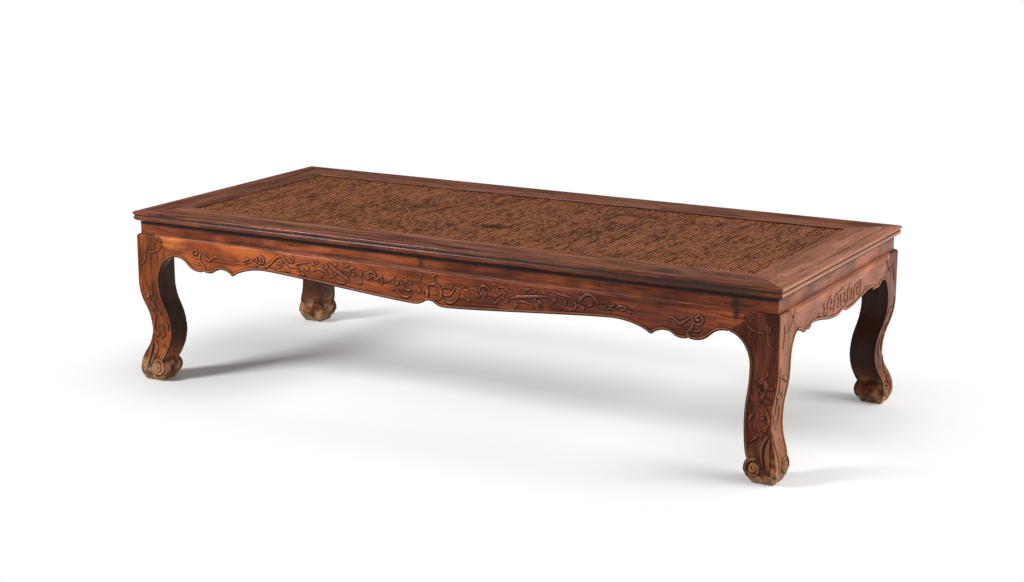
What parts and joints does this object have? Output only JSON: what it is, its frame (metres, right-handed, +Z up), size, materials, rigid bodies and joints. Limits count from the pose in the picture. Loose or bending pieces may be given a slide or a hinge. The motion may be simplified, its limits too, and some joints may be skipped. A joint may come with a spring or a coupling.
{
  "type": "luohan daybed",
  "caption": "Low waisted platform daybed: mitred hardwood frame with a woven cane seat, recessed waist, cusped carved aprons and curved legs ending in scrolled feet.",
  "frame": {"origin": "on the floor under the middle of the seat", "axes": "+X along the seat's length, +Y from the front to the back, +Z up"},
  "size_m": [2, 0.89, 0.503],
  "materials": {
    "hardwood": "waxed reddish-brown hardwood with a low sheen",
    "inner_wood": "plain, dry inner timber",
    "cane": "aged woven cane, satin",
    "coir": "dry plaited coir",
    "bamboo": "bamboo pin ends, flush and waxed"
  },
  "bodies": {
    "root": {"frame_front": "hardwood", "frame_back": "hardwood", "frame_left": "hardwood", "frame_right": "hardwood", "strip_front": "hardwood", "strip_back": "hardwood", "strip_left": "hardwood", "strip_right": "hardwood", "waist_front": "hardwood", "waist_back": "hardwood", "waist_left": "hardwood", "waist_right": "hardwood", "apron_front": "hardwood", "apron_back": "hardwood", "apron_left": "hardwood", "apron_right": "hardwood", "leg_front_left": "hardwood", "leg_front_right": "hardwood", "leg_back_left": "hardwood", "leg_back_right": "hardwood", "brace_1": "inner_wood", "brace_2": "inner_wood", "brace_3": "inner_wood", "brace_4": "inner_wood", "cane_mat": "cane", "coir_webbing": "coir", "strip_pins": "bamboo"}
  },
  "joints": []
}
